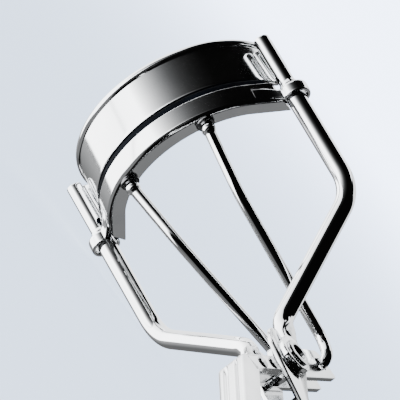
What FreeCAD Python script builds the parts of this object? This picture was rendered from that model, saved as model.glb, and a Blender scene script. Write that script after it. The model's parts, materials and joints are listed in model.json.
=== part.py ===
import FreeCAD, Part
import math
import os

import Sketcher

from FreeCAD import Placement, Rotation, Vector

# Eyelash curler. It is drawn in its own tool frame and laid on its side at the end:
#   x  from the left rail to the right rail, along the hinge axis
#   y  back, away from the bulge of the jaws
#   z  up the jaws' own axis; the rails' top ends are near z = 0, and the rails lean back as they go down

DIMENSIONS = [
    # rails and jaws
    ("rail_spacing", 36.4),
    ("rail_top_dia", 2.4),
    ("rail_wire_dia", 2.9),
    ("rail_taper", 0.6),
    ("rail_lean", 6.7),
    ("rail_level_depth", 8.7),
    ("rail_top_depth", 0.3),
    ("rail_neck_depth", 8.9),
    ("rail_bend_depth", 28.5),
    ("rail_bend_radius", 7.5),
    ("wire_end_forward", 8.6),
    ("wire_end_depth", 45.6),
    ("jaw_sheet", 0.6),
    ("band_radius", 17.16),
    ("band_half_angle", 75.5),
    ("band_centre_back", 4.6),
    ("band_top", 1.3),
    ("band_bottom_depth", 6.7),
    ("rim_radius", 0.6),
    ("hem_radius", 0.42),
    ("knuckle_clearance", 0.02),
    ("knuckle_sheet", 0.75),
    ("knuckle_wrap", 105.0),
    ("knuckle_depth", 6.8),
    ("knuckle_room", 0.25),
    ("lower_centre_back", 4.9),
    ("lower_top_depth", 7.78),
    ("lower_bottom_depth", 11.2),
    ("lower_width", 2.8),
    ("lower_sheet", 0.45),
    ("lower_half_angle", 58.0),
    ("lower_run", 12.0),
    ("lower_end_across", 16.5),
    ("lower_edge_round", 0.7),
    ("rail_gap", 0.2),
    ("guide_inner_radius", 1.65),
    ("guide_sheet", 0.6),
    ("guide_offset", 0.15),
    ("guide_top_depth", 10.0),
    ("guide_bottom_depth", 11.7),
    ("pad_gap", 0.1),
    ("pad_play", 0.02),
    ("pad_lip_setback", 0.12),
    ("pad_end_across", 15.9),
    # push rods
    ("rod_dia", 1.7),
    ("ball_dia", 2.2),
    ("ball_x", 7.18),
    ("ball_forward", 9.0),
    ("ball_depth", 12.6),
    ("stud_radius", 0.3),
    ("stud_head_radius", 0.5),
    ("stud_head", 0.4),
    ("stud_head_gap", 0.12),
    ("pad_pocket_play", 0.2),
    ("pad_pocket_depth", 1.2),
    ("seat_radius", 1.35),
    ("seat_thickness", 0.4),
    ("seat_bore_radius", 0.6),
    ("seat_play", 0.1),
    ("rod_foot_x", 3.1),
    ("rod_tip_x", 0.45),
    ("rod_bend_in", 1.42),
    ("rod_bend_back", 2.65),
    ("rod_bend_down", 10.6),
    ("rod_knee_out", 0.2),
    ("rod_knee_back", 0.9),
    ("rod_knee_up", 3.7),
    ("rod_bend_radius", 22.0),
    ("rod_knee_radius", 4.0),
    ("rod_foot_radius", 1.5),
    # hinge
    ("pivot_forward", 10.6),
    ("pivot_depth", 52.4),
    ("pin_radius", 1.5),
    ("pin_bore_radius", 1.2),
    ("pin_bore_depth", 1.6),
    ("pin_head_radius", 2.15),
    ("pin_head", 0.45),
    ("pin_play", 0.05),
    ("crank_back", 13.2),
    ("crank_up", 4.03),
    ("crank_inner", 0.85),
    ("crank_plate", 0.9),
    ("crank_end", 2.3),
    ("crank_tail", 14.0),
    ("crank_tail_top", -0.3),
    ("crank_tail_bottom", -1.9),
    ("near_rivet", 8.3),
    ("far_rivet", 12.2),
    ("spacer_start", 5.6),
    ("crank_slot_play", 0.2),
    ("crank_slot_travel", 0.8),
    ("crank_slot_shift", 0.36),
    ("cheek_inner", 1.85),
    ("cheek_sheet", 0.7),
    ("paddle", 1.1),
    ("paddle_eye_radius", 2.9),
    ("bush_radius", 2.2),
    ("rivet_radius", 0.6),
    ("rivet_head_radius", 1.0),
    ("rivet_head", 0.35),
    ("yoke_rivet_back", 0.9),
    ("yoke_rivet_up", 4.4),
    ("tool_clearance", 1.0),
    # handles
    ("handle_sheet", 0.75),
    ("front_half_width", 2.5),
    ("front_beam", 16.6),
    ("beam_top", 0.5),
    ("beam_bottom", -2.1),
    ("corner_round", 1.3),
    ("hollow_stop", 1.6),
    ("stem_half_width", 1.4),
    ("front_channel_start", 6.2),
    ("front_leg", 29.7),
    ("front_leg_slope", 35.4),
    ("leg_depth", 3.0),
    ("ring_inner_radius", 11.5),
    ("ring_sheet", 0.8),
    ("ring_offset", 3.5),
    ("back_ring_forward", 15.0),
    ("back_ring_depth", 86.0),
    # how the curler lies on its left side
    ("rest_pitch", 7.31),
    ("rest_roll", -9.45),
]

doc = FreeCAD.newDocument("eyelash_curler")
sheet = doc.addObject("Spreadsheet::Sheet", "Dimensions")
for row, (alias, value) in enumerate(DIMENSIONS, start=1):
    sheet.set(f"A{row}", alias)
    sheet.set(f"B{row}", str(value))
    sheet.setAlias(f"B{row}", alias)
doc.recompute()

SUB_PARTS = []


def dim(alias):
    return float(getattr(sheet, alias))


def cell(text):
    """Turn 'alias + alias / 2' into an expression that reads the sheet."""
    words = [f"Dimensions.{word}" if word.isidentifier() else word for word in text.split()]
    return " ".join(words)


def add(kind, name, **sizes):
    """Make one document object and bind the named properties to the sheet."""
    item = doc.addObject(kind, name)
    for prop, text in sizes.items():
        item.setExpression(prop, cell(text))
    return item


def place(item, base=(0, 0, 0), axis=(0, 0, 1), angle=0.0):
    item.Placement = Placement(Vector(*base), Rotation(Vector(*axis), angle))
    return item


def cut(name, base, tool):
    item = doc.addObject("Part::Cut", name)
    item.Base = base
    item.Tool = tool
    return item


def fuse(name, shapes):
    item = doc.addObject("Part::MultiFuse", name)
    item.Shapes = shapes
    return item


def sub_part(item, node):
    """Register a finished piece: its Label is the node's name."""
    item.Label = node
    SUB_PARTS.append(item)
    return item


def cylinder_x(name, radius, start, length, back=0.0, up=0.0):
    """A cylinder along x from x = start, its axis at (y, z) = (back, up)."""
    item = add("Part::Cylinder", name, Radius=radius)
    item.Height = length
    return place(item, (start, back, up), (0, 1, 0), 90)


def arc_path(points, radii):
    """A wire of straight runs through the points, with a tangent arc at each inner point."""
    edges = []
    start = points[0]
    for index in range(1, len(points) - 1):
        corner = points[index]
        into = (points[index - 1] - corner).normalize()
        out = (points[index + 1] - corner).normalize()
        half_turn = (math.pi - into.getAngle(out)) / 2
        radius = radii[index - 1]
        tangent = radius * math.tan(half_turn)
        first = corner + into * tangent
        last = corner + out * tangent
        middle_way = (into + out).normalize()
        middle = corner + middle_way * (radius / math.cos(half_turn) - radius)
        edges.append(Part.LineSegment(start, first).toShape())
        edges.append(Part.Arc(first, middle, last).toShape())
        start = last
    edges.append(Part.LineSegment(start, points[-1]).toShape())
    return Part.Wire(edges)


def bent_wire(name, points, radii, diameter):
    """A round wire swept along a path of runs and arcs."""
    path = doc.addObject("Part::Feature", name + "_path")
    path.Shape = arc_path(points, radii)
    section = add("Part::Circle", name + "_section", Radius=diameter + " / 2")
    along = (points[1] - points[0]).normalize()
    section.Placement = Placement(points[0], Rotation(Vector(0, 0, 1), along))
    sweep = doc.addObject("Part::Sweep", name)
    sweep.Sections = [section]
    sweep.Spine = (path, ["Edge%d" % (number + 1) for number in range(len(path.Shape.Edges))])
    sweep.Solid = True
    sweep.Frenet = False
    return sweep


def side_plate(name, points, start, thickness):
    """A flat plate: an outline of (back, up) points, extruded along x from x = start."""
    corners = [Vector(start, back, up) for back, up in points]
    outline = doc.addObject("Part::Polygon", name + "_outline")
    outline.Nodes = corners
    outline.Close = True
    plate = doc.addObject("Part::Extrusion", name)
    plate.Base = outline
    plate.Dir = Vector(1, 0, 0)
    plate.LengthFwd = thickness
    plate.Solid = True
    return plate


# ---------------------------------------------------------------- derived positions

rail_x = dim("rail_spacing") / 2
wire_radius = dim("rail_wire_dia") / 2
knuckle_inner = dim("rail_top_dia") / 2 + dim("knuckle_clearance")
knuckle_outer = knuckle_inner + dim("knuckle_sheet")
band_radius = dim("band_radius")
band_half_angle = dim("band_half_angle")
lean = math.radians(dim("rail_lean"))
rail_down = Vector(0, math.sin(lean), -math.cos(lean))
along_rail = Rotation(Vector(1, 0, 0), dim("rail_lean"))
lower_radius = math.hypot(rail_x, dim("lower_centre_back")) - wire_radius - dim("rail_gap")
cheek_outer = dim("cheek_inner") + dim("cheek_sheet")
paddle_middle = cheek_outer + dim("paddle") / 2
paddle_outer = cheek_outer + dim("paddle")
pivot = (-dim("pivot_forward"), -dim("pivot_depth"))
crank_length = math.hypot(dim("crank_back"), dim("crank_up"))
crank_angle = math.atan2(dim("crank_up"), dim("crank_back"))
crank_pin = (pivot[0] + dim("crank_back"), pivot[1] + dim("crank_up"))


def on_crank(along, above):
    """(back, up) of a point given along the crank's line through the pivot and above it."""
    back = pivot[0] + along * math.cos(crank_angle) - above * math.sin(crank_angle)
    up = pivot[1] + along * math.sin(crank_angle) + above * math.cos(crank_angle)
    return back, up


def by_pivot(back, up):
    return pivot[0] + back, pivot[1] + up


def rail_point(side, depth):
    """The point of a rail's axis that is this deep below the level of the rails' top ends."""
    return Vector(side * rail_x, (depth - dim("rail_level_depth")) * math.tan(lean), -depth)


def on_rail(item, side, depth, turn=0.0):
    """Stand an upright shape on a rail's axis, its foot at this depth, turned about that axis."""
    turned = along_rail.multiply(Rotation(Vector(0, 0, 1), turn))
    item.Placement = Placement(rail_point(side, depth), turned)
    return item


def mirrored_name(side):
    return "left" if side < 0 else "right"


# ---------------------------------------------------------------- upper jaw

def ring_sector(name, radius, sheet_text, height, bottom, centre, half_angle):
    """A curved wall about a vertical axis at y = centre, bulging towards -y."""
    outer = doc.addObject("Part::Cylinder", name + "_outer")
    outer.Radius = radius
    outer.Height = height
    outer.Angle = 2 * half_angle
    place(outer, (0, centre, bottom), (0, 0, 1), -90 - half_angle)
    inner = doc.addObject("Part::Cylinder", name + "_inner")
    inner.Radius = radius - dim(sheet_text)
    inner.Height = height
    place(inner, (0, centre, bottom))
    return cut(name, outer, inner)


def edge_roll(name, tube_text, level):
    """The rolled edge of the band: a round bead inside its outer face."""
    bead = add("Part::Torus", name, Radius2=tube_text)
    bead.Radius1 = band_radius - dim(tube_text)
    bead.Angle3 = 2 * band_half_angle
    return place(bead, (0, dim("band_centre_back"), level), (0, 0, 1), -90 - band_half_angle)


def wrap_wall(name, side, first, sweep):
    """The sheet that wraps the rail from behind; angles run from outside towards the back."""
    wall = doc.addObject("Part::Cylinder", name)
    wall.Radius = knuckle_outer
    wall.Height = (dim("knuckle_depth") - dim("rail_top_depth")) / math.cos(lean)
    wall.Angle = sweep
    turn = first if side > 0 else 180 - first - sweep
    return on_rail(wall, side, dim("knuckle_depth"), turn)


band_height = dim("band_top") + dim("band_bottom_depth")
jaw_pieces = [
    ring_sector("band", band_radius, "jaw_sheet", band_height, -dim("band_bottom_depth"),
                dim("band_centre_back"), band_half_angle),
    edge_roll("top_roll", "rim_radius", dim("band_top") - dim("rim_radius")),
    edge_roll("bottom_roll", "hem_radius", dim("hem_radius") - dim("band_bottom_depth")),
]
wrap_start = 180 - math.degrees(math.atan2(dim("band_centre_back"), rail_x))
rail_rooms = []
for side in (-1, 1):
    name = mirrored_name(side)
    jaw_pieces.append(wrap_wall(name + "_knuckle", side, wrap_start - dim("knuckle_wrap"),
                                dim("knuckle_wrap")))
    room = add("Part::Cylinder", name + "_rail_room", Radius="rail_top_dia / 2 + knuckle_clearance",
               Height="knuckle_depth * 2")
    rail_rooms.append(on_rail(room, side, dim("knuckle_depth") * 1.5))
jaw_blank = fuse("upper_jaw_fuse", jaw_pieces)
sub_part(cut("upper_jaw_cut", jaw_blank, fuse("rail_rooms", rail_rooms)), "upper_jaw")

# ---------------------------------------------------------------- rail wires

wire_end = Vector(paddle_middle, -dim("wire_end_forward"), -dim("wire_end_depth"))
wire_corner = rail_point(1, dim("rail_bend_depth"))
wire_neck = rail_point(1, dim("rail_neck_depth"))
eye_radius = dim("paddle_eye_radius")
paddle_outline = [by_pivot(0.2, 7.6), by_pivot(3.0, 7.4), by_pivot(3.1, 5.0), by_pivot(eye_radius, 0),
                  by_pivot(-eye_radius, 0), by_pivot(-1.6, 4.6)]
yoke_spot = by_pivot(dim("yoke_rivet_back"), dim("yoke_rivet_up"))
clear = dim("tool_clearance")
for side in (-1, 1):
    name = mirrored_name(side)
    flip = Vector(side, 1, 1)
    route = [Vector(p.x * flip.x, p.y, p.z) for p in (wire_neck, wire_corner, wire_end)]
    wire = bent_wire(name + "_wire", route, [dim("rail_bend_radius")], "rail_wire_dia")
    inner_face = cheek_outer if side > 0 else -paddle_outer
    neck = side_plate(name + "_paddle_neck", paddle_outline, inner_face, dim("paddle"))
    eye = cylinder_x(name + "_paddle_eye", "paddle_eye_radius", inner_face, dim("paddle"), *pivot)
    inboard = doc.addObject("Part::Box", name + "_wire_trim")
    inboard.Length = cheek_outer
    inboard.Width = 4 * eye_radius
    inboard.Height = 2 * eye_radius
    trim_start = 0 if side > 0 else -cheek_outer
    place(inboard, (trim_start, pivot[0] - 2 * eye_radius, wire_end.z - 2 * eye_radius))
    taper = add("Part::Cone", name + "_taper", Radius1="rail_wire_dia / 2",
                Radius2="rail_top_dia / 2", Height="rail_taper")
    on_rail(taper, side, dim("rail_neck_depth"))
    top = add("Part::Cylinder", name + "_rail_top", Radius="rail_top_dia / 2")
    top.Height = (dim("rail_neck_depth") - dim("rail_top_depth")) / math.cos(lean)
    on_rail(top, side, dim("rail_neck_depth"))
    solid = fuse(name + "_rail_fuse", [wire, neck, eye, taper, top])
    trimmed = cut(name + "_rail_trim", solid, inboard)
    deep = dim("paddle") + 2 * clear
    bore = cylinder_x(name + "_paddle_bore", "pin_radius", inner_face - clear, deep, *pivot)
    hole = cylinder_x(name + "_paddle_hole", "rivet_radius", inner_face - clear, deep, *yoke_spot)
    holes = fuse(name + "_paddle_holes", [bore, hole])
    sub_part(cut(name + "_rail", trimmed, holes), name + "_rail_wire")

# ---------------------------------------------------------------- lower jaw and pad

lower_half_angle = dim("lower_half_angle")


def lower_bar(name, outer_radius, inner_radius, bottom, top):
    """A bar that is curved about the lower jaw's own centre and runs on straight at both ends."""
    outer = doc.addObject("Part::Cylinder", name + "_outer")
    outer.Radius = outer_radius
    outer.Height = top - bottom
    outer.Angle = 2 * lower_half_angle
    place(outer, (0, dim("lower_centre_back"), bottom), (0, 0, 1), -90 - lower_half_angle)
    inner = doc.addObject("Part::Cylinder", name + "_inner")
    inner.Radius = inner_radius
    inner.Height = top - bottom
    place(inner, (0, dim("lower_centre_back"), bottom))
    turn = math.radians(lower_half_angle)
    foot_across = inner_radius * math.sin(turn)
    foot_back = dim("lower_centre_back") - inner_radius * math.cos(turn)
    left_run = doc.addObject("Part::Box", name + "_left_run")
    left_run.Length = dim("lower_run")
    left_run.Width = outer_radius - inner_radius
    left_run.Height = top - bottom
    place(left_run, (-foot_across, foot_back, bottom), (0, 0, 1), 180 - lower_half_angle)
    right_run = doc.addObject("Part::Box", name + "_right_run")
    right_run.Length = outer_radius - inner_radius
    right_run.Width = dim("lower_run")
    right_run.Height = top - bottom
    place(right_run, (foot_across, foot_back, bottom), (0, 0, 1), lower_half_angle - 90)
    bar = fuse(name, [cut(name + "_arc", outer, inner), left_run, right_run])
    bar.Refine = True
    return bar


def end_trims(name, across):
    """Blocks that take away all that lies farther out than this on each side."""
    trims = []
    for side in (-1, 1):
        block = doc.addObject("Part::Box", f"{mirrored_name(side)}_{name}")
        block.Length = 2 * rail_x
        block.Width = 4 * rail_x
        block.Height = 2 * rail_x
        start = across if side > 0 else -across - 2 * rail_x
        trims.append(place(block, (start, -2 * rail_x, -rail_x)))
    return trims


lower_inner_radius = lower_radius - dim("lower_width")
lower_bottom = -dim("lower_bottom_depth")
lower_top = -dim("lower_top_depth")
floor_top = lower_bottom + dim("lower_sheet")
channel = cut("channel_block",
              lower_bar("channel_bar", lower_radius, lower_inner_radius, lower_bottom, lower_top),
              fuse("channel_trims", end_trims("channel_trim", dim("lower_end_across"))))
doc.recompute()
bottom_edges = []
for number, edge in enumerate(channel.Shape.Edges, start=1):
    on_floor = abs(edge.BoundBox.ZMax - lower_bottom) < 1e-6
    if on_floor and edge.BoundBox.XLength > clear:
        bottom_edges.append((number, dim("lower_edge_round"), dim("lower_edge_round")))
rounded = doc.addObject("Part::Fillet", "channel_rounded")
rounded.Base = channel
rounded.Edges = bottom_edges
groove = lower_bar("channel_groove", lower_radius - dim("lower_sheet"),
                   lower_inner_radius + dim("lower_sheet"), floor_top, lower_top + clear)
open_channel = cut("open_channel", rounded, groove)
guides = []
for side in (-1, 1):
    name = mirrored_name(side)
    guide_height = dim("guide_bottom_depth") - dim("guide_top_depth")
    outward = Vector(side * dim("guide_offset"), 0, 0)
    loop = add("Part::Cylinder", name + "_guide_outer", Radius="guide_inner_radius + guide_sheet")
    loop.Height = guide_height
    on_rail(loop, side, dim("guide_bottom_depth")).Placement.Base += outward
    eye = add("Part::Cylinder", name + "_guide_inner", Radius="guide_inner_radius")
    eye.Height = guide_height
    on_rail(eye, side, dim("guide_bottom_depth")).Placement.Base += outward
    between = doc.addObject("Part::Box", name + "_guide_trim")
    between.Length = 2 * dim("lower_end_across")
    between.Width = 2 * rail_x
    between.Height = 4 * guide_height
    place(between, (-dim("lower_end_across"), -rail_x, lower_bottom - 2 * guide_height))
    guides.append(cut(name + "_guide", cut(name + "_guide_ring", loop, eye), between))
stud_holes = []
for side in (-1, 1):
    hole = add("Part::Cylinder", mirrored_name(side) + "_stud_hole",
               Radius="stud_radius + seat_play")
    hole.Height = dim("lower_sheet") + 2 * clear
    stud_holes.append(place(hole, (side * dim("ball_x"), -dim("ball_forward"), lower_bottom - clear)))
drilled = cut("drilled_channel", open_channel, fuse("stud_hole_pair", stud_holes))
sub_part(fuse("lower_jaw_fuse", [drilled] + guides), "lower_jaw")

pad_top = -dim("band_bottom_depth") - dim("pad_gap")
pad_outer = lower_radius - dim("lower_sheet") - dim("pad_play")
pad_inner = lower_inner_radius + dim("lower_sheet") + dim("pad_play")
pad_root = lower_bar("pad_root", pad_outer, pad_inner, floor_top, pad_top)
pad_lip = lower_bar("pad_lip", lower_radius - dim("pad_lip_setback"),
                    lower_inner_radius + dim("pad_lip_setback"), lower_top, pad_top)
pad_pockets = []
for side in (-1, 1):
    pocket = add("Part::Cylinder", mirrored_name(side) + "_pad_pocket",
                 Radius="stud_head_radius + pad_pocket_play", Height="pad_pocket_depth")
    pad_pockets.append(place(pocket, (side * dim("ball_x"), -dim("ball_forward"), floor_top)))
knuckle_room = []
for side in (-1, 1):
    room = doc.addObject("Part::Cylinder", mirrored_name(side) + "_knuckle_room")
    room.Radius = knuckle_outer + dim("knuckle_room")
    room.Height = 4 * clear
    knuckle_room.append(on_rail(room, side, dim("lower_top_depth")))
pad_trims = end_trims("pad_trim", dim("pad_end_across"))
pad_tools = fuse("pad_tools", pad_pockets + knuckle_room + pad_trims)
sub_part(cut("pad", fuse("pad_fuse", [pad_root, pad_lip]), pad_tools), "silicone_pad")

for side in (-1, 1):
    name = mirrored_name(side)
    washer = add("Part::Cylinder", name + "_seat_disc", Radius="seat_radius", Height="seat_thickness")
    place(washer, (side * dim("ball_x"), -dim("ball_forward"), lower_bottom - dim("seat_thickness")))
    bore = add("Part::Cylinder", name + "_seat_bore", Radius="seat_bore_radius")
    bore.Height = 2 * clear
    place(bore, (side * dim("ball_x"), -dim("ball_forward"), lower_bottom - clear))
    sub_part(cut(name + "_seat", washer, bore), name + "_ball_seat")

# ---------------------------------------------------------------- push rods

rod_radii = [dim("rod_bend_radius"), dim("rod_knee_radius"), dim("rod_foot_radius")]
for side in (-1, 1):
    name = mirrored_name(side)
    ball_centre = Vector(side * dim("ball_x"), -dim("ball_forward"), -dim("ball_depth"))
    foot = Vector(side * dim("rod_foot_x"), crank_pin[0], crank_pin[1])
    tip = Vector(side * dim("rod_tip_x"), crank_pin[0], crank_pin[1])
    bend = ball_centre + Vector(-side * dim("rod_bend_in"), dim("rod_bend_back"), -dim("rod_bend_down"))
    knee = foot + Vector(side * dim("rod_knee_out"), dim("rod_knee_back"), dim("rod_knee_up"))
    route = [ball_centre, bend, knee, foot, tip]
    rod = bent_wire(name + "_rod", route, rod_radii, "rod_dia")
    ball = add("Part::Sphere", name + "_ball", Radius="ball_dia / 2")
    place(ball, tuple(ball_centre))
    stud = add("Part::Cylinder", name + "_stud", Radius="stud_radius")
    stud.Height = floor_top + dim("stud_head_gap") + dim("stud_head") - ball_centre.z
    place(stud, tuple(ball_centre))
    head = add("Part::Cylinder", name + "_stud_head", Radius="stud_head_radius")
    head.Height = dim("stud_head")
    place(head, (ball_centre.x, ball_centre.y, floor_top + dim("stud_head_gap")))
    sub_part(fuse(name + "_rod_fuse", [rod, ball, stud, head]), name + "_push_rod")

# ---------------------------------------------------------------- crank

tail = -dim("crank_tail")
tail_top = dim("crank_tail_top")
tail_bottom = dim("crank_tail_bottom")
crank_end = crank_length + dim("crank_end")
crank_outline = [on_crank(crank_end, -2.4), on_crank(crank_end, 1.0), on_crank(crank_end - 1.1, 2.4),
                 on_crank(1.5, 2.9), on_crank(-2.6, 2.2), on_crank(-4.9, tail_top),
                 on_crank(tail, tail_top), on_crank(tail, tail_bottom),
                 on_crank(-4.5, tail_bottom - 0.1), on_crank(-3.6, -2.6)]
tail_middle = (tail_top + tail_bottom) / 2
rivet_spots = [on_crank(-dim("near_rivet"), tail_middle), on_crank(-dim("far_rivet"), tail_middle)]
slot_half_width = dim("rod_dia") / 2 + dim("crank_slot_play")
slot_reach = dim("crank_slot_travel") / 2
slot_middle = crank_length - dim("crank_slot_shift")
for side in (-1, 1):
    name = mirrored_name(side)
    inner_face = dim("crank_inner") if side > 0 else -dim("crank_inner") - dim("crank_plate")
    plate = side_plate(name + "_plate", crank_outline, inner_face, dim("crank_plate"))
    deep = dim("crank_plate") + 2 * clear
    from_face = inner_face - clear
    tools = [cylinder_x(name + "_crank_bore", "pin_radius + pin_play", from_face, deep, *pivot)]
    for end in (-1, 1):
        spot = on_crank(slot_middle + end * slot_reach, 0)
        tools.append(cylinder_x(f"{name}_slot_end_{end + 1}", "rod_dia / 2 + crank_slot_play",
                                from_face, deep, *spot))
    slot_corners = [on_crank(slot_middle - slot_reach, -slot_half_width),
                    on_crank(slot_middle + slot_reach, -slot_half_width),
                    on_crank(slot_middle + slot_reach, slot_half_width),
                    on_crank(slot_middle - slot_reach, slot_half_width)]
    tools.append(side_plate(name + "_slot", slot_corners, from_face, deep))
    for index, spot in enumerate(rivet_spots):
        tools.append(cylinder_x(f"{name}_rivet_hole_{index}", "rivet_radius",
                                from_face, deep, *spot))
    sub_part(cut(name + "_crank", plate, fuse(name + "_crank_tools", tools)), name + "_crank_plate")

spacer_start = -dim("spacer_start")
spacer_outline = [on_crank(tail, tail_top), on_crank(tail, tail_bottom),
                  on_crank(spacer_start, tail_bottom), on_crank(spacer_start, tail_top)]
spacer = side_plate("spacer_block", spacer_outline, -dim("crank_inner"), 2 * dim("crank_inner"))
spacer_holes = [cylinder_x(f"spacer_hole_{index}", "rivet_radius", -2 * clear, 4 * clear, *spot)
                for index, spot in enumerate(rivet_spots)]
sub_part(cut("spacer", spacer, fuse("spacer_holes", spacer_holes)), "crank_spacer")

bush_length = 2 * dim("crank_inner")
bush = cylinder_x("bush_outer", "bush_radius", -bush_length / 2, bush_length, *pivot)
bush_bore = cylinder_x("bush_bore", "pin_radius + pin_play", -2 * clear, 4 * clear, *pivot)
sub_part(cut("bush", bush, bush_bore), "pivot_bush")


def rivet(name, inner_end, outer_end, spot):
    """A round rivet along x between two faces, with a flat head on each end."""
    shank = cylinder_x(name + "_shank", "rivet_radius", inner_end, outer_end - inner_end, *spot)
    low = cylinder_x(name + "_low_head", "rivet_head_radius", inner_end - dim("rivet_head"),
                     dim("rivet_head"), *spot)
    high = cylinder_x(name + "_high_head", "rivet_head_radius", outer_end, dim("rivet_head"), *spot)
    return fuse(name, [shank, low, high])


front_half = dim("front_half_width")
for node, spot in zip(("near_crank_rivet", "far_crank_rivet"), rivet_spots):
    sub_part(rivet(node + "_fuse", -front_half, front_half, spot), node)

# ---------------------------------------------------------------- pivot pin and yoke rivets

pin_length = 2 * (paddle_outer + dim("pin_head"))
pin = [cylinder_x("pin_shank", "pin_radius", -pin_length / 2, pin_length, *pivot)]
for side in (-1, 1):
    head_start = paddle_outer if side > 0 else -paddle_outer - dim("pin_head")
    pin.append(cylinder_x(mirrored_name(side) + "_pin_head", "pin_head_radius", head_start,
                          dim("pin_head"), *pivot))
pin_bores = []
for side in (-1, 1):
    bore_start = pin_length / 2 - dim("pin_bore_depth") if side > 0 else -pin_length / 2 - clear
    pin_bores.append(cylinder_x(mirrored_name(side) + "_pin_bore", "pin_bore_radius", bore_start,
                                dim("pin_bore_depth") + clear, *pivot))
sub_part(cut("pin", fuse("pin_fuse", pin), fuse("pin_bores", pin_bores)), "pivot_pin")

sub_part(rivet("left_yoke_fuse", -paddle_outer, -dim("cheek_inner"), yoke_spot), "left_yoke_rivet")
sub_part(rivet("right_yoke_fuse", dim("cheek_inner"), paddle_outer, yoke_spot), "right_yoke_rivet")

# ---------------------------------------------------------------- handles


def add_polygon(sketch, points):
    count = len(points)
    for index in range(count):
        start = Vector(points[index][0], points[index][1], 0)
        end = Vector(points[(index + 1) % count][0], points[(index + 1) % count][1], 0)
        sketch.addGeometry(Part.LineSegment(start, end), False)


def side_sketch(body, name):
    """A sketch on the body's own y-z plane."""
    plane = [item for item in body.Origin.OriginFeatures if item.Role == "YZ_Plane"][0]
    sketch = body.newObject("Sketcher::SketchObject", name)
    sketch.AttachmentSupport = (plane, [""])
    sketch.MapMode = "FlatFace"
    return sketch


def handle(name, outline, hollow, half_width, hollow_half, ring_centre, bores):
    """A folded sheet handle: a channel cut from a padded outline, ending in a finger ring."""
    body = doc.addObject("PartDesign::Body", name + "_body")
    outline_sketch = side_sketch(body, name + "_outline")
    add_polygon(outline_sketch, outline)
    blank = body.newObject("PartDesign::Pad", name + "_blank")
    blank.Profile = outline_sketch
    blank.Midplane = True
    blank.Length = 2 * half_width
    hollow_sketch = side_sketch(body, name + "_hollow_sketch")
    add_polygon(hollow_sketch, hollow)
    pocket = body.newObject("PartDesign::Pocket", name + "_hollow")
    pocket.Profile = hollow_sketch
    pocket.Midplane = True
    pocket.Length = 2 * hollow_half
    ring_sketch = side_sketch(body, name + "_ring_sketch")
    centre = Vector(ring_centre[0], ring_centre[1], 0)
    inner = ring_sketch.addGeometry(Part.Circle(centre, Vector(0, 0, 1), dim("ring_inner_radius")))
    outer_radius = dim("ring_inner_radius") + dim("ring_sheet")
    outer = ring_sketch.addGeometry(Part.Circle(centre, Vector(0, 0, 1), outer_radius))
    inner_size = ring_sketch.addConstraint(
        Sketcher.Constraint("Radius", inner, dim("ring_inner_radius")))
    outer_size = ring_sketch.addConstraint(Sketcher.Constraint("Radius", outer, outer_radius))
    ring_sketch.setExpression(f"Constraints[{inner_size}]", cell("ring_inner_radius"))
    ring_sketch.setExpression(f"Constraints[{outer_size}]", cell("ring_inner_radius + ring_sheet"))
    ring = body.newObject("PartDesign::Pad", name + "_ring")
    ring.Profile = ring_sketch
    ring.Midplane = True
    ring.Length = 2 * half_width
    last = ring
    for index, (spot, radius) in enumerate(bores):
        bore_sketch = side_sketch(body, f"{name}_bore_sketch_{index}")
        bore_sketch.addGeometry(Part.Circle(Vector(spot[0], spot[1], 0), Vector(0, 0, 1), radius))
        last = body.newObject("PartDesign::Pocket", f"{name}_bore_{index}")
        last.Profile = bore_sketch
        last.Midplane = True
        last.Length = 2 * (half_width + clear)
    body.Tip = last
    return body


def crossing(p, p_way, q, q_way):
    """Where two lines in the side plane cross."""
    det = p_way[0] * -q_way[1] + q_way[0] * p_way[1]
    along = ((q[0] - p[0]) * -q_way[1] + q_way[0] * (q[1] - p[1])) / det
    return p[0] + along * p_way[0], p[1] + along * p_way[1]


beam_way = (-math.cos(crank_angle), -math.sin(crank_angle))
slope = math.radians(dim("front_leg_slope"))
leg_way = (-math.sin(slope), -math.cos(slope))
leg_inward = (math.cos(slope), -math.sin(slope))
beam_top = dim("beam_top")
beam_bottom = dim("beam_bottom")
wall = dim("handle_sheet")
front_corner = on_crank(-dim("front_beam"), beam_top)
ring_mid_radius = dim("ring_inner_radius") + dim("ring_sheet") / 2


def on_leg(along, inward):
    return (front_corner[0] + along * leg_way[0] + inward * leg_inward[0],
            front_corner[1] + along * leg_way[1] + inward * leg_inward[1])


def leg_end(inward):
    """How far along the leg the ring's middle radius is, for a line this far inward."""
    across = dim("ring_offset") - inward
    return dim("front_leg") - math.sqrt(ring_mid_radius ** 2 - across ** 2)


front_ring = on_leg(dim("front_leg"), dim("ring_offset"))
inner_corner = crossing(on_crank(0, beam_bottom), beam_way, on_leg(0, dim("leg_depth")), leg_way)
hollow_corner = crossing(on_crank(0, beam_top - wall), beam_way, on_leg(0, wall), leg_way)
channel_start = dim("front_channel_start")
corner_round = [on_crank(-dim("front_beam") + dim("corner_round"), beam_top),
                on_crank(-dim("front_beam") + dim("corner_round") / 4, beam_top - 0.13),
                on_leg(dim("corner_round") / 3, 0.12), on_leg(dim("corner_round"), 0)]
front_outline = [on_crank(-channel_start, beam_top)] + corner_round + [
    on_leg(leg_end(0), 0), on_leg(leg_end(dim("leg_depth")), dim("leg_depth")),
    inner_corner, on_crank(-channel_start - 0.9, beam_bottom)]
hollow_end = dim("front_leg") - ring_mid_radius - dim("hollow_stop")
front_hollow = [on_crank(-channel_start + 2, beam_top - wall), hollow_corner,
                on_leg(hollow_end, wall), on_leg(hollow_end + 0.8, dim("leg_depth") + 2),
                (inner_corner[0] + 1.2, inner_corner[1] - 2.0),
                on_crank(-channel_start + 2, beam_bottom - 2)]
front_bores = [(spot, dim("rivet_radius")) for spot in rivet_spots]
sub_part(handle("front", front_outline, front_hollow, front_half, front_half - wall, front_ring,
                front_bores), "front_handle")

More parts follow.
